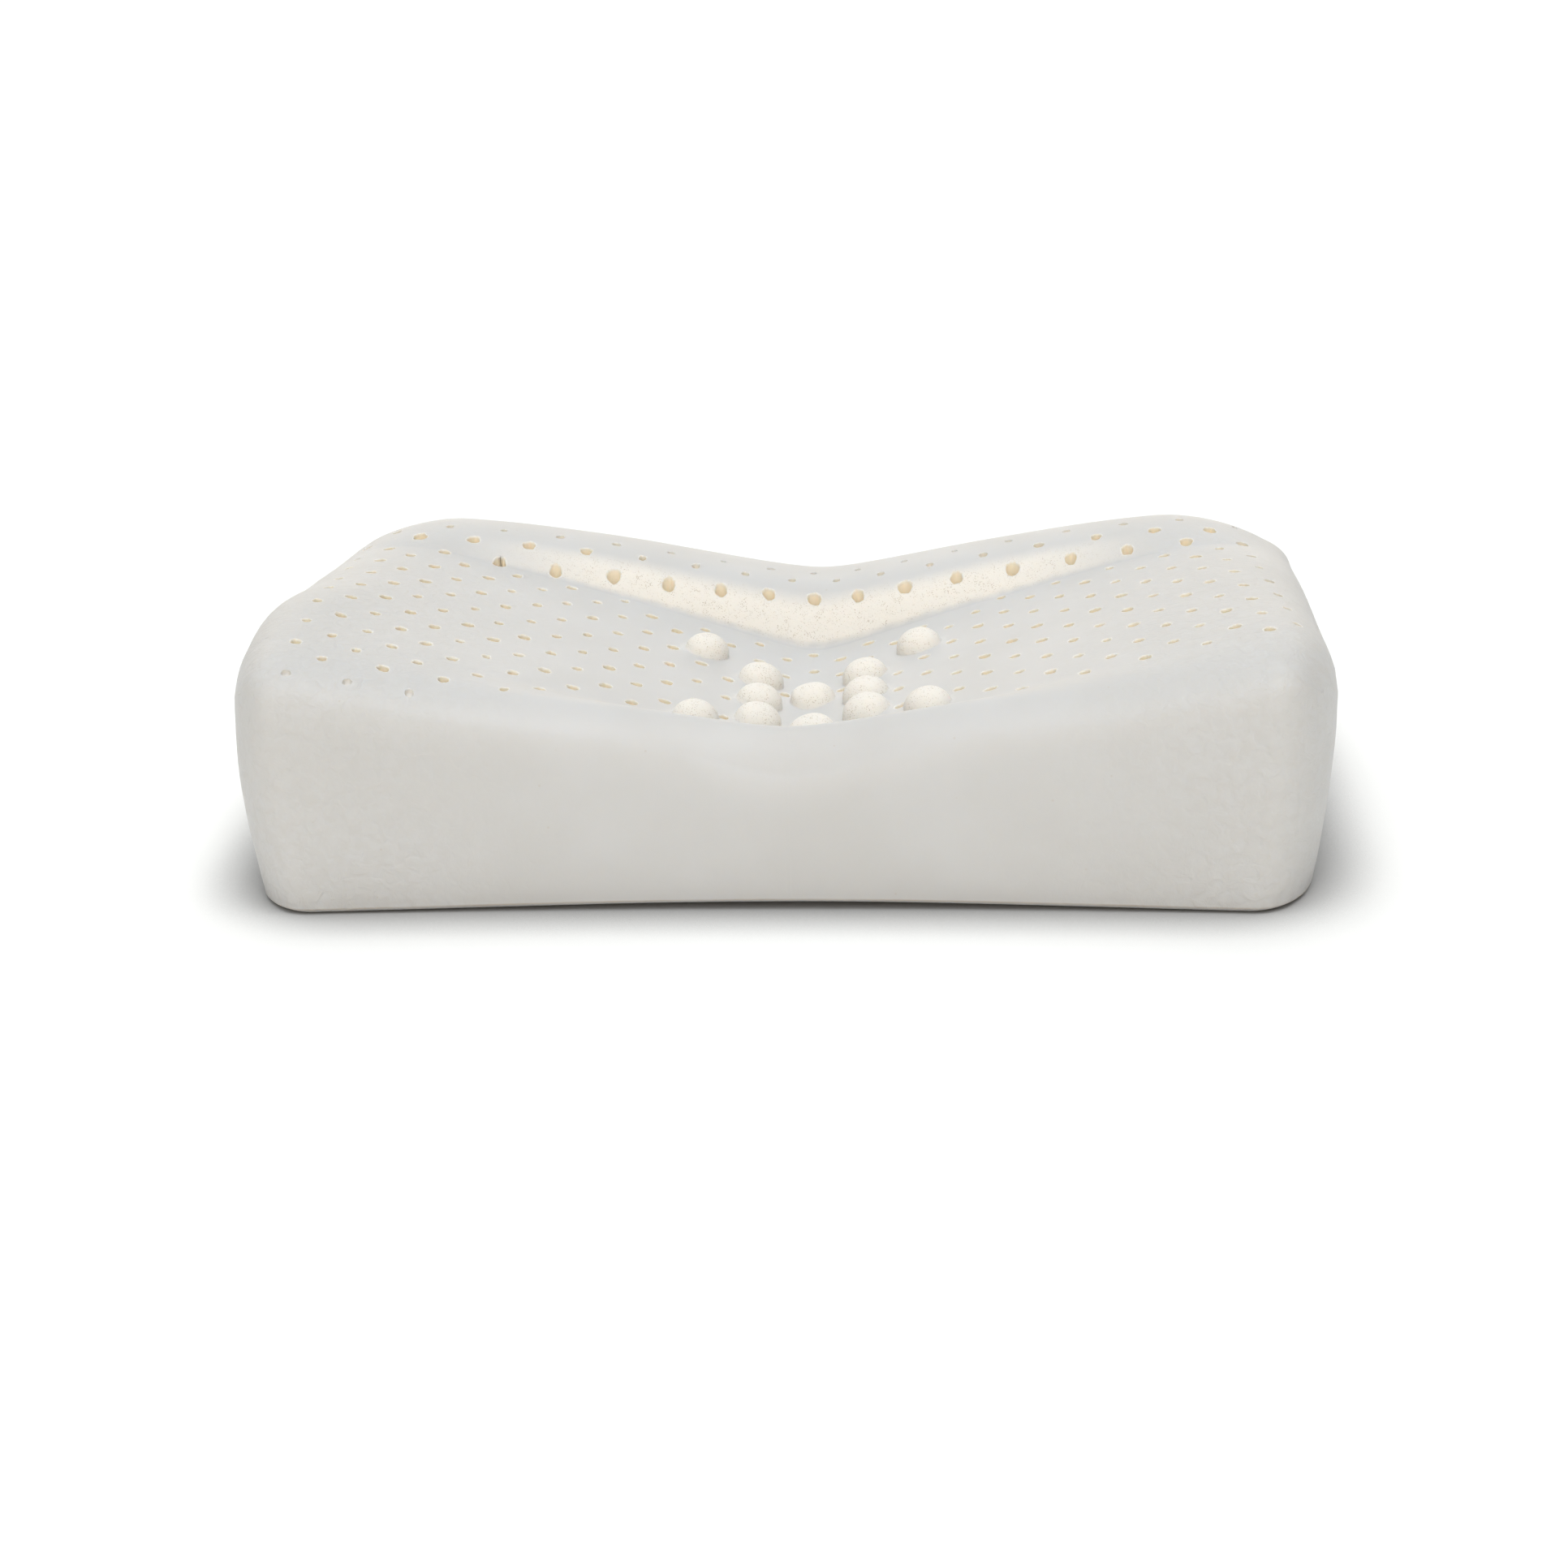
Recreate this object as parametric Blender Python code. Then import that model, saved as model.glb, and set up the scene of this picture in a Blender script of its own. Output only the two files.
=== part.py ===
"""Moulded latex foam travel pillow: one piece, with a V-shaped dip, a raised back ridge,
a raised front lip, twelve massage nubs and the field of pin holes that the mould leaves.

Metres, +Z up. X runs along the pillow, Y from the front face to the back, and the origin is
on the underside in the middle of the pillow's outline.
"""

import math

import bmesh
import bpy
from mathutils import Matrix, Vector

MM = 0.001

# Outline and overall form
HALF_LENGTH = 200 * MM
HALF_DEPTH = 118 * MM
END_ROUND_FRONT = 26 * MM    # how far in from an end the top starts to round down
END_ROUND_BACK = 58 * MM
FRONT_ROUND = 45 * MM
BACK_ROUND = 34 * MM
FACE_DROP = 11 * MM          # height of the rounding, from the top to the widest line
VALLEY_FACE_DROP = 21 * MM   # the same where the V meets the front, and how far that reaches
VALLEY_FACE_REACH = 38 * MM
END_DROP = 29 * MM
RIDGE_END_SAG = 11 * MM      # how much further it rounds down at the ridge's left end
END_DRAW_IN = 7 * MM         # how far each end is drawn in above the base rounding
FACE_DRAW_IN = 1.5 * MM      # the same for the front and the back face
FRONT_BOW = 5.5 * MM         # how far back the front face would bow over its whole length
BASE_ROUND = 4 * MM

# Heights of the top surface above the underside, at the bottom of the V
BED_HEIGHT = 48 * MM
LIP_HEIGHT = 71 * MM
RIDGE_HEIGHT = 70 * MM

# The V-shaped dip: its place, its slopes out to the ends and the rounding of its fold
VALLEY_X = 6 * MM
BED_SLOPE = 0.318
BED_SLOPE_EASE = 0.000285 / MM
BED_VALLEY_ROUND = 7 * MM
BED_FRONT_RISE = 0.014
LIP_SLOPE = 0.098
LIP_VALLEY_ROUND = 14 * MM
RIDGE_SLOPE = 0.195
RIDGE_SLOPE_EASE = 0.00055 / MM
RIDGE_EASE_START = 60 * MM
RIDGE_VALLEY_ROUND = 12 * MM

# Depths of the lip, the bed and the wall, from the middle of the outline
LIP_CREST_Y = -105 * MM
LIP_INNER_Y = -78 * MM
LIP_BLEND = 5 * MM
WALL_FOOT_Y = 46 * MM
WALL_FOOT_DRIFT = 0.09       # the wall's foot runs back towards the ends
WALL_DEPTH = 32 * MM
WALL_POWER = 3.0

# Pin holes, on a staggered lattice
PIN_PITCH = 21.7 * MM
PIN_DIAMETER = 5.2 * MM
PIN_DEPTH = 20 * MM
PIN_SIDES = 6
PIN_ZERO_Y = 27.5 * MM       # the row that the other rows are counted from
PIN_ROW_TURN = 0.018         # the field sits a little turned and leaning in the mould
PIN_COLUMN_LEAN = 0.062
PIN_FRONT_LIMIT = -96 * MM   # foremost row in the middle, and how it runs along the front
PIN_FRONT_LIMIT_TURN = 0.08
PIN_REACH_X = 8.6            # outermost holes, in pitches from the middle
PIN_ROUNDING_REACH = 0.74    # how far down the rounding of the edge a hole still stands
BED_ROWS = range(-12, 3)
RIDGE_ROWS = range(3, 6)
RIDGE_PINCH = 0.17           # ridge pins stand closer together near the middle
RIDGE_PINCH_REACH = 4.0

# Nubs: column and row in pitches from the middle line and the zero row
NUB_RADIUS = 8.5 * MM
NUB_HEIGHT = 7.5 * MM
NUB_SEGMENTS = 14
NUB_RINGS = 8
NUB_ROWS = (
    # half spacing, row
    (1.92, -0.75),
    (0.93, -1.65),
    (0.93, -2.80),
    (0.93, -3.80),
    (1.95, -4.50),
)
MIDDLE_NUB_ROWS = (-2.30, -4.10)

# Mesh density
END_CELLS = 5
LENGTH_CELLS = 24
FRONT_CELLS = 6
BACK_CELLS = 4
BED_CELLS = 8
WALL_STEPS = (0.0, 0.06, 0.16, 0.32, 0.56, 1.0)
# Rings round the side, from the underside up: share of the side's height, the height
# added to it, and how far the base rounding draws the ring in
SIDE_RINGS = (
    # share, added height, base inset
    (0.00, 0.0, 1.0),
    (0.00, 0.3, 0.3),
    (0.00, 1.0, 0.0),
    (0.22, 1.0, 0.0),
    (0.46, 1.0, 0.0),
    (0.72, 1.0, 0.0),
)
DRAW_IN_POWER = 1.7

FOAM_COLOUR = (0.80, 0.78, 0.74, 1.0)


def rounded_slope(distance, round_radius):
    """Distance from the middle line, with the fold of the V rounded off."""
    return math.hypot(distance, round_radius) - round_radius


def smooth_step(value):
    value = min(1.0, max(0.0, value))
    return value * value * (3.0 - 2.0 * value)


def wall_foot(x):
    return WALL_FOOT_Y + WALL_FOOT_DRIFT * abs(x)


def bed_height(x, y):
    away = abs(x - VALLEY_X)
    slope = BED_SLOPE * rounded_slope(away, BED_VALLEY_ROUND) - BED_SLOPE_EASE * away * away
    rise = BED_FRONT_RISE * max(0.0, WALL_FOOT_Y - y) * away / (away + PIN_PITCH)
    return BED_HEIGHT + slope + rise


def lip_height(x):
    return LIP_HEIGHT + LIP_SLOPE * rounded_slope(x - VALLEY_X, LIP_VALLEY_ROUND)


def ridge_height(x):
    slope = RIDGE_SLOPE * rounded_slope(x - VALLEY_X, RIDGE_VALLEY_ROUND)
    return RIDGE_HEIGHT + slope - RIDGE_SLOPE_EASE * max(0.0, abs(x) - RIDGE_EASE_START) ** 2


def lip_share(y):
    """How much of the lip's rise has been made at a depth: 0 on the bed, 1 at the crest."""
    return smooth_step((LIP_INNER_Y - y) / (LIP_INNER_Y - LIP_CREST_Y))


def soft_max(first, second, blend):
    return 0.5 * (first + second + math.hypot(first - second, blend))


def top_height(x, y):
    """Height of the top surface before its edges are rounded down."""
    bed = bed_height(x, y)
    lip = bed + lip_share(y) * (soft_max(lip_height(x), bed, LIP_BLEND) - bed)
    along = min(1.0, max(0.0, (y - wall_foot(x)) / WALL_DEPTH))
    wall_share = 1.0 - (1.0 - along) ** WALL_POWER
    return lip + wall_share * max(0.0, ridge_height(x) - bed)


def evenly(start, end, cells):
    return [start + (end - start) * k / cells for k in range(1, cells + 1)]


def length_stations():
    """X of the lattice cuts: even along the middle, closing up round each end."""
    inner = HALF_LENGTH - END_ROUND_BACK
    end = [inner + END_ROUND_BACK * math.sin(math.pi / 2 * k / END_CELLS)
           for k in range(1, END_CELLS)]
    middle = [-inner + 2 * inner * k / LENGTH_CELLS for k in range(LENGTH_CELLS + 1)]
    return [-x for x in reversed(end)] + middle + end


def depth_stations():
    """Y of the lattice cuts, closer together at the rounded faces and up the wall."""
    front_inner = -HALF_DEPTH + FRONT_ROUND
    back_inner = HALF_DEPTH - BACK_ROUND
    front = [front_inner - FRONT_ROUND * math.sin(math.pi / 2 * k / FRONT_CELLS)
             for k in reversed(range(1, FRONT_CELLS))]
    back = [back_inner + BACK_ROUND * math.sin(math.pi / 2 * k / BACK_CELLS)
            for k in range(1, BACK_CELLS)]
    bed = evenly(front_inner, WALL_FOOT_Y, BED_CELLS)
    wall = [WALL_FOOT_Y + WALL_DEPTH * step for step in WALL_STEPS[1:]]
    return front + [front_inner] + bed + wall + [back_inner] + back


def end_round(y):
    """How deep the rounding of the ends is: tighter at the front than at the back."""
    share = smooth_step((y + HALF_DEPTH) / (2 * HALF_DEPTH))
    return END_ROUND_FRONT + share * (END_ROUND_BACK - END_ROUND_FRONT)


def face_round(y):
    """How deep the rounding of the front or the back is."""
    return FRONT_ROUND if y < 0.0 else BACK_ROUND


def rounding_shares(x, y):
    """How far a place is through the rounding of the end, and of the front or back."""
    x_round = end_round(y)
    y_round = face_round(y)
    along_x = min(1.0, max(0.0, (abs(x) - HALF_LENGTH + x_round) / x_round))
    along_y = min(1.0, max(0.0, (abs(y) - HALF_DEPTH + y_round) / y_round))
    return along_x, along_y


def corner_rounded(x, y):
    """Move a place of the square-cornered lattice into the outline with rounded corners.

    Returns the place and its shares of the end's and the face's rounding, which lie in a
    quarter disc: together they reach 1 on the outline.
    """
    along_x, along_y = rounding_shares(x, y)
    disc_x = along_x * math.sqrt(1.0 - along_y * along_y / 2.0)
    disc_y = along_y * math.sqrt(1.0 - along_x * along_x / 2.0)
    x_moved = end_round(y) * (along_x - disc_x)
    y_moved = face_round(y) * (along_y - disc_y)
    return x - math.copysign(x_moved, x), y - math.copysign(y_moved, y), disc_x, disc_y


def face_drop(x, y):
    """Height of the rounding at the front or back face: deeper where the V meets the front."""
    if y > 0.0:
        return FACE_DROP
    away = (x - VALLEY_X) / VALLEY_FACE_REACH
    return FACE_DROP + (VALLEY_FACE_DROP - FACE_DROP) * math.exp(-away * away)


def end_drop(x, y):
    """Height of the rounding at an end."""
    if x > 0.0:
        return END_DROP
    return END_DROP + RIDGE_END_SAG * smooth_step(y / HALF_DEPTH)


def edge_rounding(x, y, share_x, share_y):
    """How far the top has dropped at a place, from its shares of the rounding."""
    through = min(1.0, math.hypot(share_x, share_y))
    if through == 0.0:
        return 0.0
    end_part = (share_x / math.hypot(share_x, share_y)) ** 2
    drop = face_drop(x, y) + (end_drop(x, y) - face_drop(x, y)) * end_part
    return drop * (1.0 - math.sqrt(1.0 - through * through))


def follow_wall(x, y):
    """Shift the rows near the wall's foot back towards the ends, as the foot runs."""
    back_inner = HALF_DEPTH - BACK_ROUND
    if y < WALL_FOOT_Y:
        share = max(0.0, (y - LIP_INNER_Y) / (WALL_FOOT_Y - LIP_INNER_Y))
    else:
        share = max(0.0, (back_inner - y) / (back_inner - WALL_FOOT_Y))
    return y + share * WALL_FOOT_DRIFT * abs(x)


def bowed(x, y):
    """Draw the middle of the front face back a little from where its ends start to round."""
    if y >= 0.0:
        return y
    start = 1.0 - END_ROUND_FRONT / HALF_LENGTH
    middle = start ** 2 - (x / HALF_LENGTH) ** 2
    return y + FRONT_BOW * middle * (y / HALF_DEPTH) ** 2


def surface_point(x, y):
    """A point of the top surface for a lattice place."""
    new_x, new_y, share_x, share_y = corner_rounded(x, follow_wall(x, y))
    height = top_height(new_x, new_y) - edge_rounding(new_x, new_y, share_x, share_y)
    return Vector((new_x, bowed(new_x, new_y), height))


def surface_height(x, y):
    """Height of the finished top surface at a place on it."""
    return top_height(x, y) - edge_rounding(x, y, *rounding_shares(x, y))


def side_point(x, y, ring):
    """A point of the side for a lattice place on the outline."""
    share, added, base_inset = SIDE_RINGS[ring]
    top = surface_point(x, y)
    height = added * BASE_ROUND + share * (top.z - BASE_ROUND)
    down = (1.0 - height / top.z) ** DRAW_IN_POWER
    inset_x = END_DRAW_IN * down + BASE_ROUND * base_inset
    inset_y = FACE_DRAW_IN * down + BASE_ROUND * base_inset
    return Vector((top.x * (1.0 - inset_x / HALF_LENGTH), top.y * (1.0 - inset_y / HALF_DEPTH), height))


def cut_across(mesh, axis, places):
    """Cut the block with planes square to an axis."""
    normal = Vector((0.0, 0.0, 0.0))
    normal[axis] = 1.0
    for place in places:
        bmesh.ops.bisect_plane(
            mesh, geom=mesh.verts[:] + mesh.edges[:] + mesh.faces[:],
            plane_co=normal * place, plane_no=normal)


def foam_block():
    """The body: a block cut into a lattice, whose points are moved to the moulded form."""
    mesh = bmesh.new()
    bmesh.ops.create_cube(mesh, size=1.0)
    bmesh.ops.translate(mesh, verts=mesh.verts, vec=(0.0, 0.0, 0.5))
    top_level = float(len(SIDE_RINGS))
    bmesh.ops.scale(mesh, verts=mesh.verts, vec=(2 * HALF_LENGTH, 2 * HALF_DEPTH, top_level))
    cut_across(mesh, 2, range(1, len(SIDE_RINGS)))
    cut_across(mesh, 0, length_stations())
    cut_across(mesh, 1, depth_stations())
    underside = [face for face in mesh.faces if face.normal.z < -0.5]
    bmesh.ops.dissolve_faces(mesh, faces=underside)
    for vert in mesh.verts:
        x, y, level = vert.co
        if level > top_level - 0.5:
            vert.co = surface_point(x, y)
        else:
            vert.co = side_point(x, y, round(level))
    bmesh.ops.recalc_face_normals(mesh, faces=mesh.faces)
    return mesh


def pin_place(column, row):
    """Where a pin stands: half pitches along the field's own rows and columns."""
    x = column * PIN_PITCH / 2
    y = row * PIN_PITCH / 2
    return VALLEY_X + x - PIN_COLUMN_LEAN * y, PIN_ZERO_Y + y + PIN_ROW_TURN * x


def pin_places():
    """All pins of the bed and of the ridge."""
    places = []
    reach = int(2 * PIN_REACH_X)
    for row in (*BED_ROWS, *RIDGE_ROWS):
        for column in range(-reach, reach + 1):
            if (column + row) % 2 == 0:
                continue
            x, y = pin_place(column, row)
            on_ridge = row in RIDGE_ROWS
            if on_ridge:
                away = (x - VALLEY_X) / PIN_PITCH
                pinch = RIDGE_PINCH * math.exp(-(away / RIDGE_PINCH_REACH) ** 2)
                x -= pinch * (x - VALLEY_X)
            if is_bare(x, y, on_ridge):
                places.append((x, y))
    return places


def nub_places():
    """Centre of each nub on the bed."""
    pairs = [(side * away, row) for away, row in NUB_ROWS for side in (-1, 1)]
    middle = [(0.0, row) for row in MIDDLE_NUB_ROWS]
    return [pin_place(2 * column, 2 * row) for column, row in pairs + middle]


def is_bare(x, y, on_ridge):
    """Whether a pin stands clear of the nubs, the lip, the wall's foot and the rounding."""
    if abs(x) > PIN_REACH_X * PIN_PITCH:
        return False
    if math.hypot(*rounding_shares(x, y)) > PIN_ROUNDING_REACH:
        return False
    if on_ridge:
        return True
    if lip_share(y) * (lip_height(x) - bed_height(x, y)) > PIN_DIAMETER / 2:
        return False
    if y < PIN_FRONT_LIMIT + PIN_FRONT_LIMIT_TURN * x:
        return False
    if y > wall_foot(x) - PIN_DIAMETER / 2:
        return False
    return all(math.dist((x, y), nub) > NUB_RADIUS + PIN_DIAMETER / 2 for nub in nub_places())


def pin_cutters():
    """A short column for each pin hole, standing through the top surface."""
    mesh = bmesh.new()
    above = 3 * PIN_DIAMETER
    for x, y in pin_places():
        middle = surface_height(x, y) + (above - PIN_DEPTH) / 2
        bmesh.ops.create_cone(
            mesh, cap_ends=True, segments=PIN_SIDES, radius1=PIN_DIAMETER / 2,
            radius2=PIN_DIAMETER / 2, depth=above + PIN_DEPTH,
            matrix=Matrix.Translation((x, y, middle)))
    return mesh


def nub_domes():
    """The nubs as whole flattened balls, half sunk in the bed and leaning with its slope."""
    mesh = bmesh.new()
    step = 1 * MM
    for x, y in nub_places():
        lean_x = (surface_height(x + step, y) - surface_height(x - step, y)) / (2 * step)
        lean_y = (surface_height(x, y + step) - surface_height(x, y - step)) / (2 * step)
        normal = Vector((-lean_x, -lean_y, 1.0)).normalized()
        turn = Vector((0.0, 0.0, 1.0)).rotation_difference(normal).to_matrix().to_4x4()
        size = Matrix.Diagonal((NUB_RADIUS, NUB_RADIUS, NUB_HEIGHT, 1.0))
        bmesh.ops.create_uvsphere(
            mesh, u_segments=NUB_SEGMENTS, v_segments=NUB_RINGS, radius=1.0,
            matrix=Matrix.Translation((x, y, surface_height(x, y))) @ turn @ size)
    return mesh


def foam_material():
    """Plain latex foam, pale cream and dull."""
    material = bpy.data.materials.new("latex foam")
    material.use_nodes = True
    shader = material.node_tree.nodes["Principled BSDF"]
    shader.inputs["Base Color"].default_value = FOAM_COLOUR
    shader.inputs["Roughness"].default_value = 0.85
    shader.inputs["Metallic"].default_value = 0.0
    return material


def add_object(name, mesh, collection):
    """Make an object of a bmesh in a collection."""
    data = bpy.data.meshes.new(name)
    mesh.to_mesh(data)
    mesh.free()
    thing = bpy.data.objects.new(name, data)
    collection.objects.link(thing)
    return thing


def join_shape(body, tool, operation):
    """Join or cut the body with a tool by an exact Boolean."""
    tool.hide_render = True
    tool.display_type = "WIRE"
    boolean = body.modifiers.new(tool.name, "BOOLEAN")
    boolean.operation = operation
    boolean.solver = "EXACT"
    boolean.object = tool


def build():
    for thing in list(bpy.data.objects):
        bpy.data.objects.remove(thing, do_unlink=True)
    parts = bpy.data.collections.new("latex travel pillow")
    tools = bpy.data.collections.new("cutters")
    for collection in (parts, tools):
        bpy.context.scene.collection.children.link(collection)

    pillow = add_object("foam_pillow", foam_block(), parts)
    pillow.data.materials.append(foam_material())
    join_shape(pillow, add_object("nub domes", nub_domes(), tools), "UNION")
    join_shape(pillow, add_object("pin holes", pin_cutters(), tools), "DIFFERENCE")
    pillow.data.shade_smooth()
    pillow.data.set_sharp_from_angle(angle=math.radians(40))


build()
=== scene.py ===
"""Scene of a moulded latex foam travel pillow on a pale floor, under soft studio light."""

import logging
import math
import random
from dataclasses import dataclass, field
from enum import Enum

import bmesh
import bpy
from bmesh.types import BMEdge, BMesh, BMVert
from bpy.types import NodeSocket as Socket
from mathutils import Matrix, Vector, noise
from mathutils.bvhtree import BVHTree
from mathutils.kdtree import KDTree


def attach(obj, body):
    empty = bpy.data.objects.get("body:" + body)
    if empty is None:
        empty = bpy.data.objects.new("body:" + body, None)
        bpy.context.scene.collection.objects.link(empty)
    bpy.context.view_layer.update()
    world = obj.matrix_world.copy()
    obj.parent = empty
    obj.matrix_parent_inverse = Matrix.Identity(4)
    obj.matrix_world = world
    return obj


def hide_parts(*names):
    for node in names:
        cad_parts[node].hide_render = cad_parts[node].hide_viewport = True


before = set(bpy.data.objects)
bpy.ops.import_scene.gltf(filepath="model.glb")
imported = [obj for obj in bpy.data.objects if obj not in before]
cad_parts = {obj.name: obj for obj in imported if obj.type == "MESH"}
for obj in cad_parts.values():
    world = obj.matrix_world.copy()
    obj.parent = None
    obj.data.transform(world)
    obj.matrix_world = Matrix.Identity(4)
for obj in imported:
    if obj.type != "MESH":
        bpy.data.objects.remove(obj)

log = logging.getLogger("travel pillow")

MM = 0.001
IMAGE_SIDE = 1932
SENSOR_WIDTH = 36.0
RING_INSET = 0.02 * MM        # how far in a new ring is made before it is moved
UP = Vector((0.0, 0.0, 1.0))

Colour = tuple[float, float, float, float]
Pair = tuple[float, float]
Triple = tuple[float, float, float]


class Zone(Enum):
    """Vertex attributes of the pillow that its finish reads."""

    OPEN_FOAM = "open_foam"
    HOLE = "hole"
    RIM = "rim"
    PEEL = "peel"
    FLASH = "flash"


def smooth_step(value: float) -> float:
    """Smooth rise from 0 to 1 while the value goes from 0 to 1."""
    value = min(1.0, max(0.0, value))
    return value * value * (3.0 - 2.0 * value)


def rounded_slope(distance: float, round_radius: float) -> float:
    """Distance from the middle line, with the fold of the V rounded off."""
    return math.hypot(distance, round_radius) - round_radius


def placed(name: str, data: bpy.types.ID) -> bpy.types.Object:
    """Make an object of the data and link it to the scene."""
    made = bpy.data.objects.new(name, data)
    bpy.context.scene.collection.objects.link(made)
    return made


@dataclass(frozen=True)
class PillowForm:
    """Moulded form of the pillow: its outline and the heights of its top."""

    half_length: float = 200 * MM
    half_depth: float = 118 * MM
    end_round_front: float = 26 * MM
    end_round_back: float = 58 * MM
    front_round: float = 45 * MM
    back_round: float = 34 * MM
    face_drop: float = 11 * MM
    valley_face_drop: float = 21 * MM
    valley_face_reach: float = 38 * MM
    end_drop: float = 29 * MM
    ridge_end_sag: float = 11 * MM
    end_draw_in: float = 7 * MM
    face_draw_in: float = 1.5 * MM
    draw_in_power: float = 1.7
    front_bow: float = 5.5 * MM
    base_round: float = 2.8 * MM
    base_lift: float = 2.6 * MM
    base_lift_reach: float = 120 * MM
    base_lift_depth: float = 14 * MM
    base_lift_start: float = 30 * MM
    base_lift_blend: float = 20 * MM
    bed_height: float = 48 * MM
    lip_height: float = 71 * MM
    ridge_height: float = 70 * MM
    valley_x: float = 6 * MM
    bed_slope: float = 0.318
    bed_slope_ease: float = 0.285
    bed_valley_round: float = 7 * MM
    bed_front_rise: float = 0.014
    bed_rise_reach: float = 21.7 * MM
    lip_slope: float = 0.098
    lip_valley_round: float = 14 * MM
    ridge_slope: float = 0.195
    ridge_slope_ease: float = 0.55
    ridge_ease_start: float = 60 * MM
    ridge_valley_round: float = 12 * MM
    lip_crest_y: float = -105 * MM
    lip_inner_y: float = -78 * MM
    lip_blend: float = 5 * MM
    wall_foot_y: float = 46 * MM
    wall_foot_drift: float = 0.09
    wall_depth: float = 32 * MM
    wall_power: float = 3.0
    shoulder: float = 4 * MM
    shoulder_depth: float = 4.5 * MM
    shoulder_share: float = 0.93
    flash_size: float = 9 * MM

    @property
    def front_inner(self) -> float:
        """Where the top starts to round down to the front."""
        return -self.half_depth + self.front_round

    @property
    def back_inner(self) -> float:
        """Where the top starts to round down to the back."""
        return self.half_depth - self.back_round

    def wall_foot(self, x: float) -> float:
        """Depth at which the wall rises from the bed."""
        return self.wall_foot_y + self.wall_foot_drift * abs(x)

    def wall_share(self, x: float, y: float) -> float:
        """How far a place is through the wall: 0 at its foot, 1 where the ridge is level."""
        return (y - self.wall_foot(x)) / self.wall_depth

    def bed_at(self, x: float, y: float) -> float:
        """Height of the V-shaped bed."""
        away = abs(x - self.valley_x)
        slope = self.bed_slope * rounded_slope(away, self.bed_valley_round)
        slope -= self.bed_slope_ease * away * away
        rise = self.bed_front_rise * max(0.0, self.wall_foot_y - y)
        return self.bed_height + slope + rise * away / (away + self.bed_rise_reach)

    def lip_at(self, x: float) -> float:
        """Height of the crest of the front lip."""
        slope = self.lip_slope * rounded_slope(x - self.valley_x, self.lip_valley_round)
        return self.lip_height + slope

    def ridge_at(self, x: float) -> float:
        """Height of the back ridge."""
        slope = self.ridge_slope * rounded_slope(x - self.valley_x, self.ridge_valley_round)
        past = max(0.0, abs(x) - self.ridge_ease_start)
        return self.ridge_height + slope - self.ridge_slope_ease * past * past

    def lip_share(self, y: float) -> float:
        """How much of the lip's rise has been made at a depth."""
        return smooth_step((self.lip_inner_y - y) / (self.lip_inner_y - self.lip_crest_y))

    def top_at(self, x: float, y: float) -> float:
        """Height of the top before its edges are rounded down."""
        bed = self.bed_at(x, y)
        lip = self.lip_at(x)
        higher = 0.5 * (lip + bed + math.hypot(lip - bed, self.lip_blend))
        height = bed + self.lip_share(y) * (higher - bed)
        along = min(1.0, max(0.0, self.wall_share(x, y)))
        raised = 1.0 - (1.0 - along) ** self.wall_power
        return height + raised * max(0.0, self.ridge_at(x) - bed)

    def end_round(self, y: float) -> float:
        """How deep the rounding of the ends is: tighter at the front than at the back."""
        share = smooth_step((y + self.half_depth) / (2 * self.half_depth))
        return self.end_round_front + share * (self.end_round_back - self.end_round_front)

    def face_round(self, y: float) -> float:
        """How deep the rounding of the front or the back is."""
        return self.front_round if y < 0.0 else self.back_round

    def rounding_shares(self, x: float, y: float) -> Pair:
        """How far a place is through the rounding of the end, and of the front or back."""
        x_round = self.end_round(y)
        y_round = self.face_round(y)
        along_x = min(1.0, max(0.0, (abs(x) - self.half_length + x_round) / x_round))
        along_y = min(1.0, max(0.0, (abs(y) - self.half_depth + y_round) / y_round))
        return along_x, along_y

    def corner_rounded(self, x: float, y: float) -> tuple[float, float, float, float]:
        """Move a place of the square-cornered lattice into the outline with rounded corners.

        Args:
            x: Place along the pillow.
            y: Place from front to back.

        Returns:
            The place, and its shares of the end's and the face's rounding, which lie in a
            quarter disc: together they reach 1 on the outline.
        """
        along_x, along_y = self.rounding_shares(x, y)
        disc_x = along_x * math.sqrt(1.0 - along_y * along_y / 2.0)
        disc_y = along_y * math.sqrt(1.0 - along_x * along_x / 2.0)
        x_moved = self.end_round(y) * (along_x - disc_x)
        y_moved = self.face_round(y) * (along_y - disc_y)
        return x - math.copysign(x_moved, x), y - math.copysign(y_moved, y), disc_x, disc_y

    def face_drop_at(self, x: float, y: float) -> float:
        """Height of the rounding at a face: deeper where the V meets the front."""
        if y > 0.0:
            return self.face_drop
        away = (x - self.valley_x) / self.valley_face_reach
        deeper = self.valley_face_drop - self.face_drop
        return self.face_drop + deeper * math.exp(-away * away)

    def end_drop_at(self, x: float, y: float) -> float:
        """Height of the rounding at an end: deeper at the ridge's left end."""
        if x > 0.0:
            return self.end_drop
        return self.end_drop + self.ridge_end_sag * smooth_step(y / self.half_depth)

    def face_part(self, share_x: float, share_y: float) -> float:
        """How much of the rounding at a place belongs to the front or back face."""
        through = math.hypot(share_x, share_y)
        return (share_y / through) ** 2 if through else 0.0

    def edge_rounding(self, x: float, y: float, share_x: float, share_y: float) -> float:
        """How far the top has dropped at a place, from its shares of the rounding."""
        through = min(1.0, math.hypot(share_x, share_y))
        if through == 0.0:
            return 0.0
        on_face = self.face_part(share_x, share_y)
        end = self.end_drop_at(x, y)
        drop = end + (self.face_drop_at(x, y) - end) * on_face
        bend = 1.0 - (1.0 - self.shoulder_share) * on_face
        whole = 1.0 - math.sqrt(1.0 - bend * bend)
        return drop * (1.0 - math.sqrt(1.0 - (bend * through) ** 2)) / whole

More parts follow.
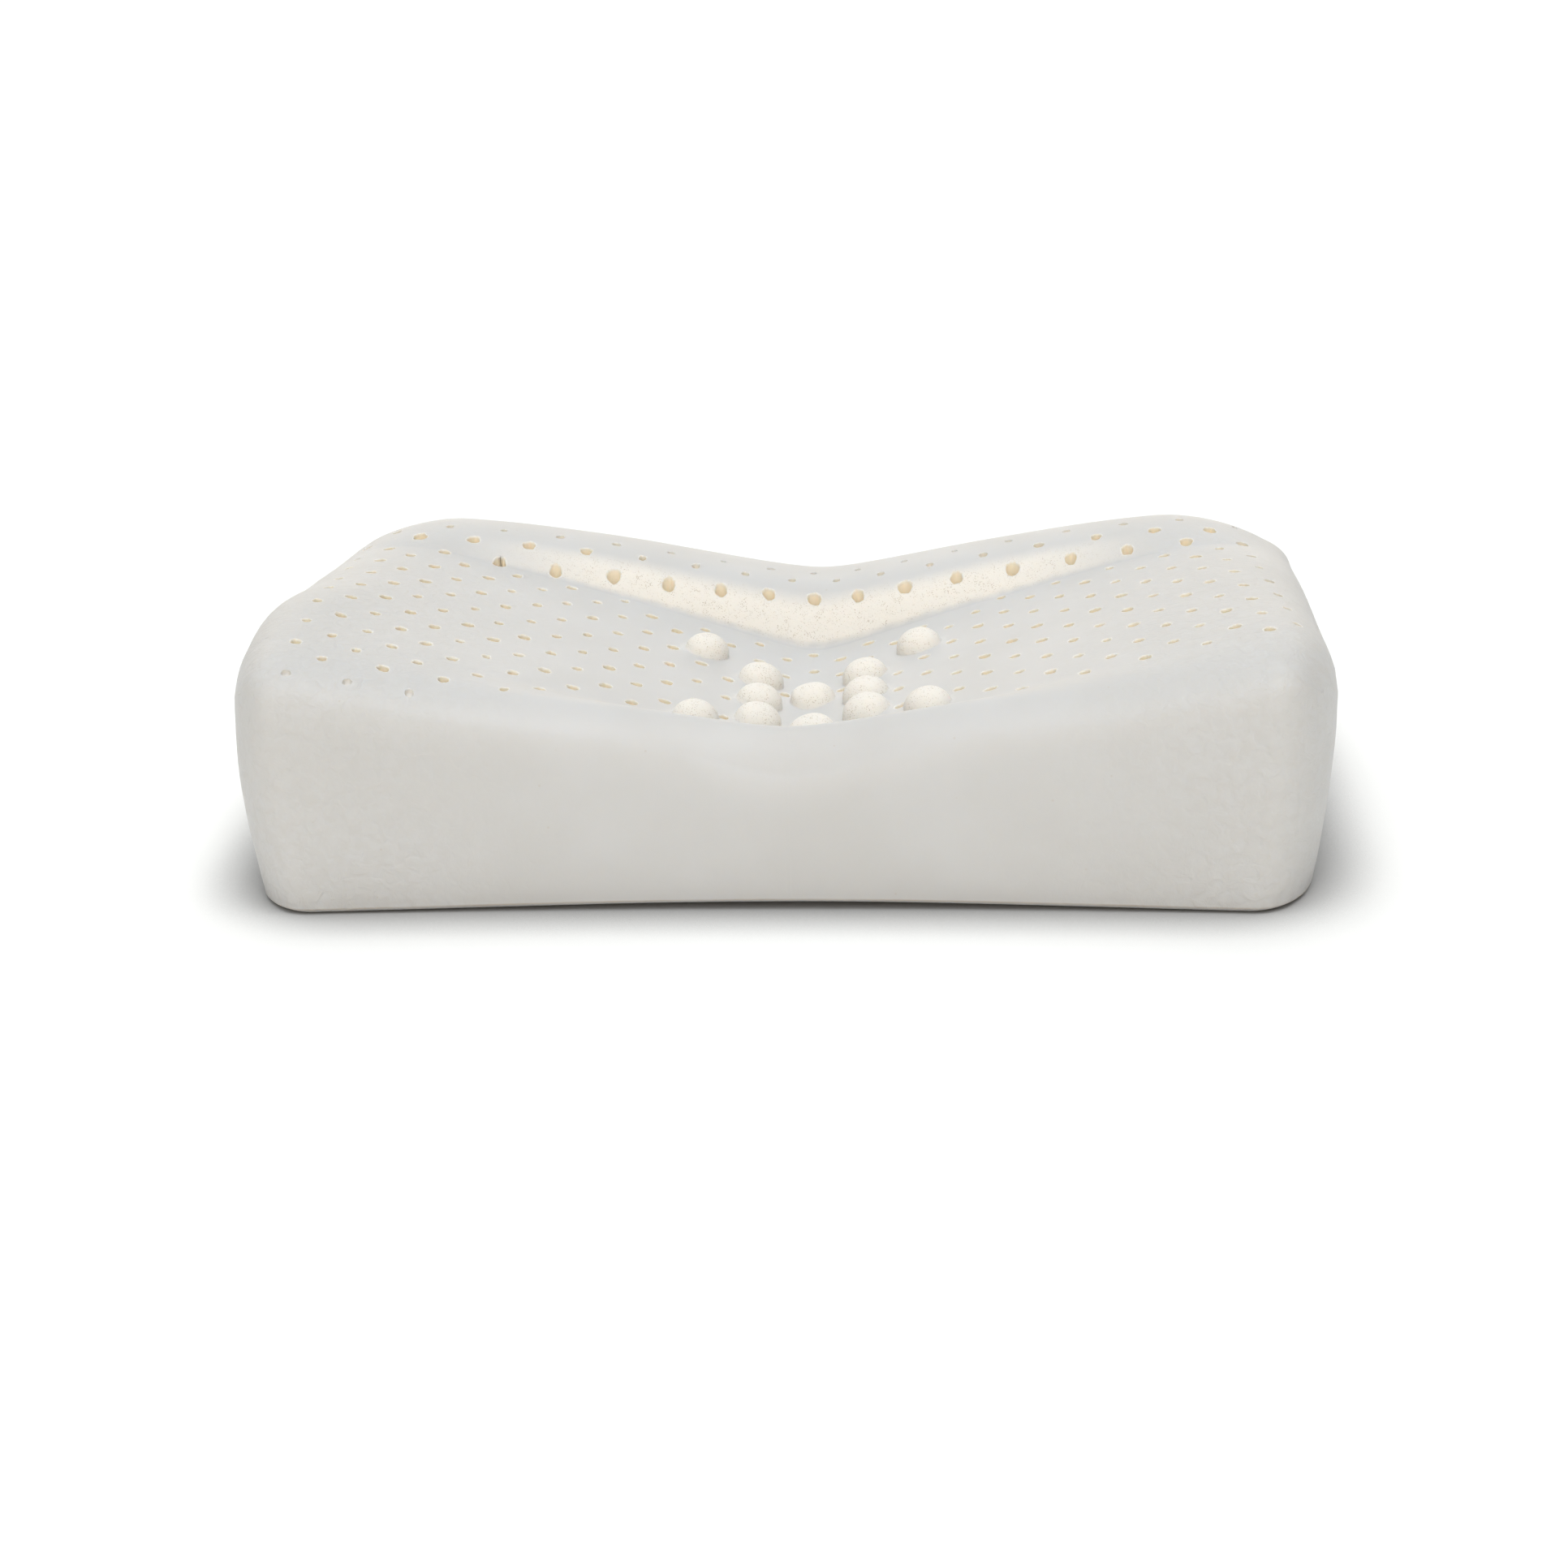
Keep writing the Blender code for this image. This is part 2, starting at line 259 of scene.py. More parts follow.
    def follow_wall(self, x: float, y: float) -> float:
        """Shift the rows near the wall's foot back towards the ends, as the foot runs."""
        if y < self.wall_foot_y:
            share = max(0.0, (y - self.lip_inner_y) / (self.wall_foot_y - self.lip_inner_y))
        else:
            share = max(0.0, (self.back_inner - y) / (self.back_inner - self.wall_foot_y))
        return y + share * self.wall_foot_drift * abs(x)

    def bowed(self, x: float, y: float) -> float:
        """Draw the middle of the front face back a little."""
        if y >= 0.0:
            return y
        start = 1.0 - self.end_round_front / self.half_length
        middle = start ** 2 - (x / self.half_length) ** 2
        return y + self.front_bow * middle * (y / self.half_depth) ** 2

    def top_point(self, x: float, y: float) -> Vector:
        """Point of the top surface for a lattice place."""
        new_x, new_y, share_x, share_y = self.corner_rounded(x, self.follow_wall(x, y))
        height = self.top_at(new_x, new_y)
        height -= self.edge_rounding(new_x, new_y, share_x, share_y)
        through = min(1.0, math.hypot(share_x, share_y))
        drawn = self.shoulder * self.face_part(share_x, share_y) * through ** 2
        return Vector((new_x, self.bowed(new_x, new_y) - math.copysign(drawn, y), height))

    def side_point(self, x: float, y: float, ring: "SideRing") -> Vector:
        """Point of the side for a lattice place on the outline."""
        top = self.top_point(x, y)
        height = ring.added * self.base_round + ring.share * (top.z - self.base_round)
        down = (1.0 - height / top.z) ** self.draw_in_power
        inset_x = self.end_draw_in * down + self.base_round * ring.base_inset
        inset_y = self.face_draw_in * down + self.base_round * ring.base_inset
        uneven = noise.noise(Vector((x, y, 0.0)) / self.flash_size)
        proud = ring.proud * (0.6 + 0.4 * uneven)
        inset_x -= proud
        inset_y -= proud
        drawn = self.shoulder * self.face_part(*self.corner_rounded(x, y)[2:])
        inset_y -= drawn * (1.0 - math.exp((height - top.z) / self.shoulder_depth))
        point = Vector((top.x * (1.0 - inset_x / self.half_length),
                        top.y * (1.0 - inset_y / self.half_depth), height))
        point.z += self.lifted(point.x, point.y) * (1.0 - height / top.z) ** 2
        return point

    def lifted(self, x: float, y: float) -> float:
        """How far the underside's edge stands off the floor, in the middle of the front."""
        away = (x - self.valley_x) / self.base_lift_reach
        past = -y - self.half_depth + self.base_lift_start
        front = smooth_step(past / self.base_lift_blend)
        return self.base_lift * front * math.exp(-away * away)


@dataclass(frozen=True)
class SideRing:
    """A ring round the side of the pillow.

    It stands at a share of the way from the base's rounding up to the top, above an added
    share of that rounding, and is inset by a share of it. The mould's flash stands proud.
    """

    share: float
    added: float
    base_inset: float
    proud: float = 0.0


@dataclass(frozen=True)
class Lattice:
    """How finely the pillow's skin is cut."""

    cell: float = 1.8 * MM
    end_cells: int = 34
    front_cells: int = 26
    back_cells: int = 20
    wall_cells: int = 20
    crown_cells: int = 3
    side_rings: int = 18
    side_opening: float = 1.5
    base_rings: int = 8
    wall_opening: float = 1.25
    flash: float = 0.45 * MM

    @staticmethod
    def closing(start: float, end: float, cells: int) -> list[float]:
        """Places from after the start to the end, closing up towards the end."""
        steps = [k / cells for k in range(1, cells + 1)]
        return [start + (end - start) * 0.5 * (t + math.sin(math.pi / 2 * t)) for t in steps]

    @staticmethod
    def opening(start: float, end: float, cells: int, power: float) -> list[float]:
        """Places from after the start to the end, opening out from the start."""
        return [start + (end - start) * (k / cells) ** power for k in range(1, cells + 1)]

    def length_stations(self, form: PillowForm) -> list[float]:
        """Lattice places along the pillow."""
        inner = form.half_length - form.end_round_back
        half = self.opening(0.0, inner, round(inner / self.cell), 1.0)
        half += self.closing(inner, form.half_length, self.end_cells)
        return [-x for x in reversed(half)] + [0.0] + half

    def depth_stations(self, form: PillowForm) -> list[float]:
        """Lattice places from the front to the back."""
        front = self.closing(form.front_inner, -form.half_depth, self.front_cells)
        bed_cells = round((form.wall_foot_y - form.front_inner) / self.cell)
        bed = self.opening(form.front_inner, form.wall_foot_y, bed_cells, 1.0)
        wall_top = form.wall_foot_y + form.wall_depth
        wall = self.opening(form.wall_foot_y, wall_top, self.wall_cells, self.wall_opening)
        crown = self.opening(wall_top, form.back_inner, self.crown_cells, 1.0)
        back = self.closing(form.back_inner, form.half_depth, self.back_cells)
        return list(reversed(front)) + [form.front_inner] + bed + wall + crown + back

    def rings(self) -> list[SideRing]:
        """Rings of the side, from under the top down to the underside."""
        upper = [SideRing(1.0 - (k / self.side_rings) ** self.side_opening, 1.0, 0.0)
                 for k in range(1, self.side_rings + 1)]
        turns = [math.pi / 2 * k / self.base_rings for k in range(1, self.base_rings + 1)]
        base = [SideRing(0.0, 1.0 - math.sin(turn), 1.0 - math.cos(turn),
                         self.flash if k == 1 else 0.0) for k, turn in enumerate(turns)]
        return upper + base


@dataclass(frozen=True)
class RoundFeature:
    """A round hole or nub that is let into the skin.

    Rings run from the outside in. Each is a radius, how far it stands above the skin and
    its values for the zones. Lobes make a ring a little out of round: how many, how strong
    and at which angle. A torn edge stands up on one side of the rim.
    """

    x: float
    y: float
    rings: tuple["FeatureRing", ...]
    axis: Vector
    lobes: tuple[tuple[int, float, float], ...] = ()
    torn: float = 0.0
    torn_turn: float = 0.0

    def torn_rise(self, angle: float) -> float:
        """How far the torn skin stands up at an angle."""
        away = angle - self.torn_turn
        return self.torn * max(0.0, math.cos(away)) * (0.6 + 0.4 * math.cos(5.0 * away))

    def out_of_round(self, angle: float) -> float:
        """Factor on the radius at an angle."""
        return 1.0 + sum(amount * math.cos(count * (angle - turn))
                         for count, amount, turn in self.lobes)


@dataclass(frozen=True)
class FeatureRing:
    """One ring of a round feature."""

    radius: float
    rise: float
    open_foam: float = 0.0
    hole: float = 0.0
    rim: float = 0.0
    torn: float = 0.0


@dataclass(frozen=True)
class NubSet:
    """Massage nubs on the bed."""

    radius: float = 8.5 * MM
    height: float = 7.5 * MM
    fillet: float = 0.55 * MM
    latitudes: int = 11
    lowest_turn: float = 0.14
    pairs: tuple[Pair, ...] = (
        (1.92, -0.75),
        (0.93, -1.65),
        (0.93, -2.80),
        (0.93, -3.80),
        (1.95, -4.50),
    )
    middle_rows: tuple[float, ...] = (-2.30, -4.10)

    def columns_rows(self) -> list[Pair]:
        """Column and row of each nub, in pitches of the pin field."""
        pairs = [(side * away, row) for away, row in self.pairs for side in (-1, 1)]
        return pairs + [(0.0, row) for row in self.middle_rows]

    def rings(self) -> tuple[FeatureRing, ...]:
        """Rings of a nub: a small fillet at its foot, then its dome."""
        foot = [
            FeatureRing(self.radius + self.fillet, 0.0, 0.15),
            FeatureRing(self.radius + 0.35 * self.fillet, 0.12 * self.fillet, 0.55),
            FeatureRing(self.radius, 0.9 * self.fillet, 0.9),
        ]
        arc = math.pi / 2 - self.lowest_turn
        turns = [self.lowest_turn + arc * k / self.latitudes for k in range(1, self.latitudes)]
        dome = [FeatureRing(self.radius * math.cos(turn), self.height * math.sin(turn), 1.0)
                for turn in turns]
        return tuple(foot + dome)


@dataclass(frozen=True)
class PinField:
    """The field of holes that the mould's pins leave.

    Holes close at the top of the wall, on the ridge and at the field's border: how much, and
    from which share of the wall or of the edge's rounding and over how much of it.
    """

    pitch: float = 21.7 * MM
    diameter: float = 5.2 * MM
    depth: float = 10 * MM
    fillet: float = 0.6 * MM
    least_open: float = 0.14
    zero_y: float = 27.5 * MM
    row_turn: float = 0.018
    column_lean: float = 0.062
    front_limit: float = -96 * MM
    front_limit_turn: float = 0.08
    reach: float = 8.6
    rounding_reach: float = 0.74
    bed_rows: range = range(-12, 3)
    ridge_rows: range = range(3, 6)
    ridge_pinch: float = 0.17
    ridge_pinch_reach: float = 4.0
    nub_clearance: float = 12.7 * MM
    stray: float = 0.35 * MM
    bed_sizes: Pair = (0.62, 0.88)
    wall_sizes: Pair = (0.88, 1.06)
    wall_top: float = 0.45
    torn_left: float = 0.75 * MM
    torn_right: float = 0.4 * MM
    lobes: tuple[tuple[int, float], ...] = ((2, 0.10), (3, 0.07), (5, 0.06))
    least_lobe: float = 0.02
    closing: tuple[Triple, ...] = (
        (0.55, 0.45, 0.2),
        (0.30, 0.85, 0.15),
        (0.75, 0.40, 0.32),
    )
    least_depth: float = 4.8
    seed: int = 11

    def place(self, column: float, row: float, form: PillowForm) -> Pair:
        """Where a pin stands: half pitches along the field's own rows and columns."""
        x = column * self.pitch / 2
        y = row * self.pitch / 2
        return form.valley_x + x - self.column_lean * y, self.zero_y + y + self.row_turn * x

    def nub_places(self, nubs: NubSet, form: PillowForm) -> list[Pair]:
        """Centre of each nub, on the same field."""
        return [self.place(2 * column, 2 * row, form) for column, row in nubs.columns_rows()]

    def places(self, nubs: NubSet, form: PillowForm) -> list[Pair]:
        """All pins of the bed and of the ridge."""
        found = []
        reach = int(2 * self.reach)
        nub_places = self.nub_places(nubs, form)
        for row in (*self.bed_rows, *self.ridge_rows):
            on_ridge = row in self.ridge_rows
            for column in range(-reach, reach + 1):
                if (column + row) % 2 == 0:
                    continue
                x, y = self.place(column, row, form)
                if on_ridge:
                    away = (x - form.valley_x) / self.pitch
                    pinch = self.ridge_pinch * math.exp(-(away / self.ridge_pinch_reach) ** 2)
                    x -= pinch * (x - form.valley_x)
                if self.is_bare(x, y, on_ridge, nubs, nub_places, form):
                    found.append((x, y))
        return found

    def is_bare(
        self, x: float, y: float, on_ridge: bool, nubs: NubSet,
        nub_places: list[Pair], form: PillowForm,
    ) -> bool:
        """Whether a pin stands clear of the nubs, the lip, the wall's foot and the rounding."""
        if abs(x) > self.reach * self.pitch:
            return False
        if math.hypot(*form.rounding_shares(x, y)) > self.rounding_reach:
            return False
        if on_ridge:
            return True
        if form.lip_share(y) * (form.lip_at(x) - form.bed_at(x, y)) > self.diameter / 2:
            return False
        if y < self.front_limit + self.front_limit_turn * x:
            return False
        if y > form.wall_foot(x) - self.diameter / 2:
            return False
        clear = nubs.radius + self.diameter / 2
        return all(math.dist((x, y), nub) > clear for nub in nub_places)

    def pushed_clear(self, x: float, y: float, nub_places: list[Pair]) -> Pair:
        """Move a pin that stands close to a nub just clear of its foot."""
        for nub in nub_places:
            away = math.dist((x, y), nub)
            if away < self.nub_clearance:
                factor = self.nub_clearance / away
                x = nub[0] + (x - nub[0]) * factor
                y = nub[1] + (y - nub[1]) * factor
        return x, y

    def openness(self, x: float, y: float, form: PillowForm) -> float:
        """How open a hole is: nearly skinned over on the ridge and at the field's borders."""
        share = form.wall_share(x, y)
        through = math.hypot(*form.rounding_shares(x, y))
        closed = sum(amount * smooth_step((reached - start) / blend) for
                     (amount, start, blend), reached in zip(self.closing, (share, share, through)))
        return max(self.least_open, 1.0 - closed)

    def rings(self, size: float, openness: float) -> tuple[FeatureRing, ...]:
        """Rings of a hole: a worn rim, then a wall that narrows a little to a blind end.

        A hole that is nearly skinned over is narrower and shallower, with a sharper rim.
        """
        radius = self.diameter / 2 * size * (0.8 + 0.2 * openness)
        fillet = self.fillet * (0.25 + 0.75 * openness)
        depth = max(self.depth * openness ** 2, self.least_depth * fillet)
        hole = openness
        rim = 0.3 + 0.7 * openness
        return (
            FeatureRing(radius + 1.3 * fillet, 0.0, rim=0.35 * rim),
            FeatureRing(radius + 0.6 * fillet, 0.0, rim=rim, torn=0.7),
            FeatureRing(radius + 0.15 * fillet, -0.35 * fillet, rim=rim, hole=0.2 * hole, torn=1.0),
            FeatureRing(radius, -fillet, rim=0.5 * rim, hole=0.7 * hole),
            FeatureRing(0.97 * radius, -2.6 * fillet, hole=hole),
            FeatureRing(0.93 * radius, -0.6 * depth, hole=hole),
            FeatureRing(0.86 * radius, -0.93 * depth, hole=hole),
            FeatureRing(0.45 * radius, -depth, hole=hole),
        )


@dataclass(frozen=True)
class FoamTints:
    """Colours of the foam, in linear light."""

    skin: Colour = (0.605, 0.603, 0.597, 1.0)
    skin_cloud: Colour = (0.585, 0.58, 0.568, 1.0)
    skin_dull: Colour = (0.575, 0.566, 0.55, 1.0)
    open_foam: Colour = (0.82, 0.785, 0.725, 1.0)
    pore: Colour = (0.48, 0.40, 0.31, 1.0)
    hole: Colour = (0.92, 0.83, 0.67, 1.0)
    rim: Colour = (0.76, 0.755, 0.73, 1.0)
    torn: Colour = (0.74, 0.68, 0.57, 1.0)
    flash: Colour = (0.50, 0.43, 0.36, 1.0)


class NodeBench:
    """Adds and links nodes in one node tree."""

    def __init__(self, tree: bpy.types.NodeTree) -> None:
        """Take the tree to work on."""
        self.tree = tree

    def add(
        self, kind: str, settings: dict[str, object] | None = None, **values: object,
    ) -> bpy.types.Node:
        """Add a node.

        Args:
            kind: Node type.
            settings: Properties of the node.
            **values: Values of its inputs, by name with underscores for spaces, or a socket
                to link.

        Returns:
            The node.
        """
        node = self.tree.nodes.new(kind)
        for name, value in (settings or {}).items():
            setattr(node, name, value)
        for name, value in values.items():
            self.feed(node.inputs[name.replace("_", " ")], value)
        return node

    def feed(self, socket: Socket, value: object) -> None:
        """Link a socket to an input, or set the input's own value."""
        if isinstance(value, Socket):
            self.tree.links.new(value, socket)
        else:
            socket.default_value = value

    def blend(self, factor: object, first: object, second: object) -> Socket:
        """Mix two colours and return the mixed colour."""
        node = self.tree.nodes.new("ShaderNodeMix")
        node.data_type = "RGBA"
        self.feed(node.inputs[0], factor)
        self.feed(node.inputs[6], first)
        self.feed(node.inputs[7], second)
        return node.outputs[2]

    def noise(self, vector: Socket, **values: object) -> Socket:
        """Add a noise and return its value."""
        return self.add("ShaderNodeTexNoise", Vector=vector, **values).outputs["Fac"]

    def sum_of(self, first: object, factor: object, addend: object = 0.0) -> Socket:
        """First times factor plus addend."""
        node = self.tree.nodes.new("ShaderNodeMath")
        node.operation = "MULTIPLY_ADD"
        for socket, value in zip(node.inputs, (first, factor, addend)):
            self.feed(socket, value)
        return node.outputs[0]

    def ramp(
        self, value: object, low: float, high: float, start: float = 0.0, end: float = 1.0,
    ) -> Socket:
        """Map a value from one range to another, clamped and smooth."""
        node = self.add("ShaderNodeMapRange", {"interpolation_type": "SMOOTHSTEP"})
        for socket, given in zip(node.inputs, (value, low, high, start, end)):
            self.feed(socket, given)
        return node.outputs[0]


@dataclass(frozen=True)
class FoamGrain:
    """Node group for the fine grain of foam: pores, their dark dots and a soft swell."""

    name: str = "foam_grain"
    pore_depth: float = -0.7

    def build(self) -> bpy.types.NodeTree:
        """Make the group, with its scale and pore size as inputs."""
        group = bpy.data.node_groups.new(self.name, "ShaderNodeTree")
        for socket, kind in (("Vector", "NodeSocketVector"), ("Scale", "NodeSocketFloat"),
                             ("Pore Size", "NodeSocketFloat")):
            group.interface.new_socket(socket, in_out="INPUT", socket_type=kind)
        for socket in ("Pores", "Height"):
            group.interface.new_socket(socket, in_out="OUTPUT", socket_type="NodeSocketFloat")
        bench = NodeBench(group)
        given = bench.add("NodeGroupInput").outputs
        cells = bench.add("ShaderNodeTexVoronoi", Vector=given["Vector"], Scale=given["Scale"])
        choice = bench.noise(given["Vector"], Scale=bench.sum_of(given["Scale"], 0.23), Detail=2.0)
        wide = bench.sum_of(choice, given["Pore Size"], -0.1)
        inside = bench.sum_of(cells.outputs["Distance"], -1.0, wide)
        pores = bench.ramp(inside, low=-0.06, high=0.10)
        swell = bench.noise(given["Vector"], Scale=bench.sum_of(given["Scale"], 0.5), Detail=3.0)
        height = bench.sum_of(pores, self.pore_depth, swell)
        out = bench.add("NodeGroupOutput")
        bench.feed(out.inputs["Pores"], pores)
        bench.feed(out.inputs["Height"], height)
        return group


class FoamBench(NodeBench):
    """Bench of the foam's material, with what its parts share: place, zones and two noises."""

    def __init__(self, tree: bpy.types.NodeTree) -> None:
        """Take the tree and add the shared nodes."""
        super().__init__(tree)
        self.place = self.add("ShaderNodeTexCoord").outputs["Object"]
        self.masks = {
            zone: self.add("ShaderNodeAttribute", {"attribute_name": zone.value}).outputs["Fac"]
            for zone in Zone
        }
        self.mottle = self.noise(self.place, Scale=26.0, Detail=4.0)
        self.wrinkle = self.noise(self.place, Scale=240.0, Detail=5.0, Distortion=0.8)


@dataclass(frozen=True)
class FoamFinish:
    """Finish of the latex foam: moulded skin, open porous foam and the insides of holes."""

    tints: FoamTints = FoamTints()
    skin_roughness: float = 0.46
    open_roughness: float = 0.92
    roughness_varies: float = 0.12
    subsurface_weight: float = 0.4
    subsurface_radius: Triple = (1.0, 0.8, 0.6)
    subsurface_scale: float = 4 * MM
    fine_darkness: float = 0.7
    coarse_darkness: float = 0.45
    mottle_range: Pair = (0.3, 0.7)
    cloud_strength: float = 0.9
    speck_strength: float = 0.22
    fray_spread: float = 0.9
    rim_strength: float = 0.8
    wrinkle_height: float = 5.0
    peel_height: float = 0.35
    peel_growth: float = 0.5
    coarse_height: float = 0.8
    foam_height: float = 1.3
    bump_distance: float = 0.25 * MM
    seam_width: float = 0.9 * MM
    seam_height: float = 0.2

    def build(self, form: PillowForm, grain: bpy.types.NodeTree) -> bpy.types.Material:
        """Make the material from its colour, its roughness and its height.

        Args:
            form: Form of the pillow, for the place of its mould seam.
            grain: Node group of the foam's grain.

        Returns:
            The material.
        """
        material = bpy.data.materials.new("latex_foam")
        material.use_nodes = True
        shader = material.node_tree.nodes["Principled BSDF"]
        bench = FoamBench(material.node_tree)
        porous = bench.masks[Zone.OPEN_FOAM]
        fine = bench.add("ShaderNodeGroup", {"node_tree": grain}, Vector=bench.place,
                         Scale=1500.0, Pore_Size=0.62)
        coarse = bench.add("ShaderNodeGroup", {"node_tree": grain}, Vector=bench.place,
                           Scale=620.0, Pore_Size=0.46)

        foam = self.tints.open_foam
        for pores, darkness in ((fine, self.fine_darkness), (coarse, self.coarse_darkness)):
            dark = bench.sum_of(pores.outputs["Pores"], darkness)
            foam = bench.blend(dark, foam, self.tints.pore)
        colour = bench.blend(porous, self.skin_colour(bench), foam)
        bench.feed(shader.inputs["Base Color"], self.edge_colour(bench, colour))

        rough = bench.ramp(porous, 0.0, 1.0, self.skin_roughness, self.open_roughness)
        rough = bench.sum_of(rough, 1.0, -0.5 * self.roughness_varies)
        bench.feed(shader.inputs["Roughness"],
                   bench.sum_of(bench.mottle, self.roughness_varies, rough))
        shader.inputs["Subsurface Weight"].default_value = self.subsurface_weight
        shader.inputs["Subsurface Radius"].default_value = self.subsurface_radius
        shader.inputs["Subsurface Scale"].default_value = self.subsurface_scale

        height = bench.add("ShaderNodeMix", {"data_type": "FLOAT"}, Factor=porous)
        bench.feed(height.inputs[2], self.skin_relief(bench, form))
        grains = bench.sum_of(coarse.outputs["Height"], self.coarse_height, fine.outputs["Height"])
        bench.feed(height.inputs[3], bench.sum_of(grains, self.foam_height))
        bump = bench.add("ShaderNodeBump", Strength=0.55, Distance=self.bump_distance,
                         Height=height.outputs[0])
        bench.feed(shader.inputs["Normal"], bump.outputs["Normal"])
        return material

    def skin_colour(self, bench: FoamBench) -> Socket:
        """Colour of the moulded skin: cloudy, duller near the ends, with a few specks."""
        specks = bench.add("ShaderNodeTexVoronoi", Vector=bench.place, Scale=95.0)
        skin = bench.blend(bench.ramp(bench.mottle, *self.mottle_range),
                           self.tints.skin, self.tints.skin_cloud)
        cloud = bench.ramp(bench.wrinkle, low=0.30, high=0.72, end=self.cloud_strength)
        cloud = bench.sum_of(bench.masks[Zone.PEEL], cloud)
        skin = bench.blend(cloud, skin, self.tints.skin_dull)
        speck = bench.ramp(specks.outputs["Distance"], low=0.035, high=0.05,
                           start=self.speck_strength, end=0.0)
        return bench.blend(speck, skin, self.tints.pore)

    def edge_colour(self, bench: FoamBench, colour: Socket) -> Socket:
        """The foam's colour with frayed rims, the insides of the holes and the mould's flash."""
        fray = bench.noise(bench.place, Scale=900.0, Detail=2.0)
        frayed = bench.blend(bench.ramp(fray, low=0.42, high=0.58),
                             self.tints.torn, self.tints.rim)
        spread = bench.sum_of(bench.masks[Zone.RIM], 1.0, -0.5 * self.fray_spread)
        spread = bench.sum_of(fray, self.fray_spread, spread)
        rim = bench.ramp(spread, low=0.40, high=0.85, end=self.rim_strength)
        colour = bench.blend(rim, colour, frayed)
        colour = bench.blend(bench.masks[Zone.HOLE], colour, self.tints.hole)
        grime = bench.ramp(bench.mottle, *self.mottle_range, start=0.3, end=0.9)
        grime = bench.sum_of(bench.masks[Zone.FLASH], grime)
        return bench.blend(grime, colour, self.tints.flash)

    def skin_relief(self, bench: FoamBench, form: PillowForm) -> Socket:
        """Relief of the moulded skin: a fine peel, wrinkles near the ends and the mould seam."""
        near_end = bench.masks[Zone.PEEL]
        peel = bench.noise(bench.place, Scale=480.0, Detail=4.0, Roughness=0.7)
        axis = bench.add("ShaderNodeSeparateXYZ", Vector=bench.place).outputs["X"]
        off_seam = bench.add("ShaderNodeMath", {"operation": "ABSOLUTE"})
        bench.feed(off_seam.inputs[0], bench.sum_of(axis, 1.0, -form.valley_x))
        seam = bench.ramp(off_seam.outputs[0], 0.0, self.seam_width, self.seam_height, 0.0)
        folds = bench.sum_of(near_end, bench.sum_of(bench.wrinkle, self.wrinkle_height), seam)
        strength = bench.sum_of(near_end, self.peel_growth, self.peel_height)
        return bench.sum_of(peel, strength, folds)


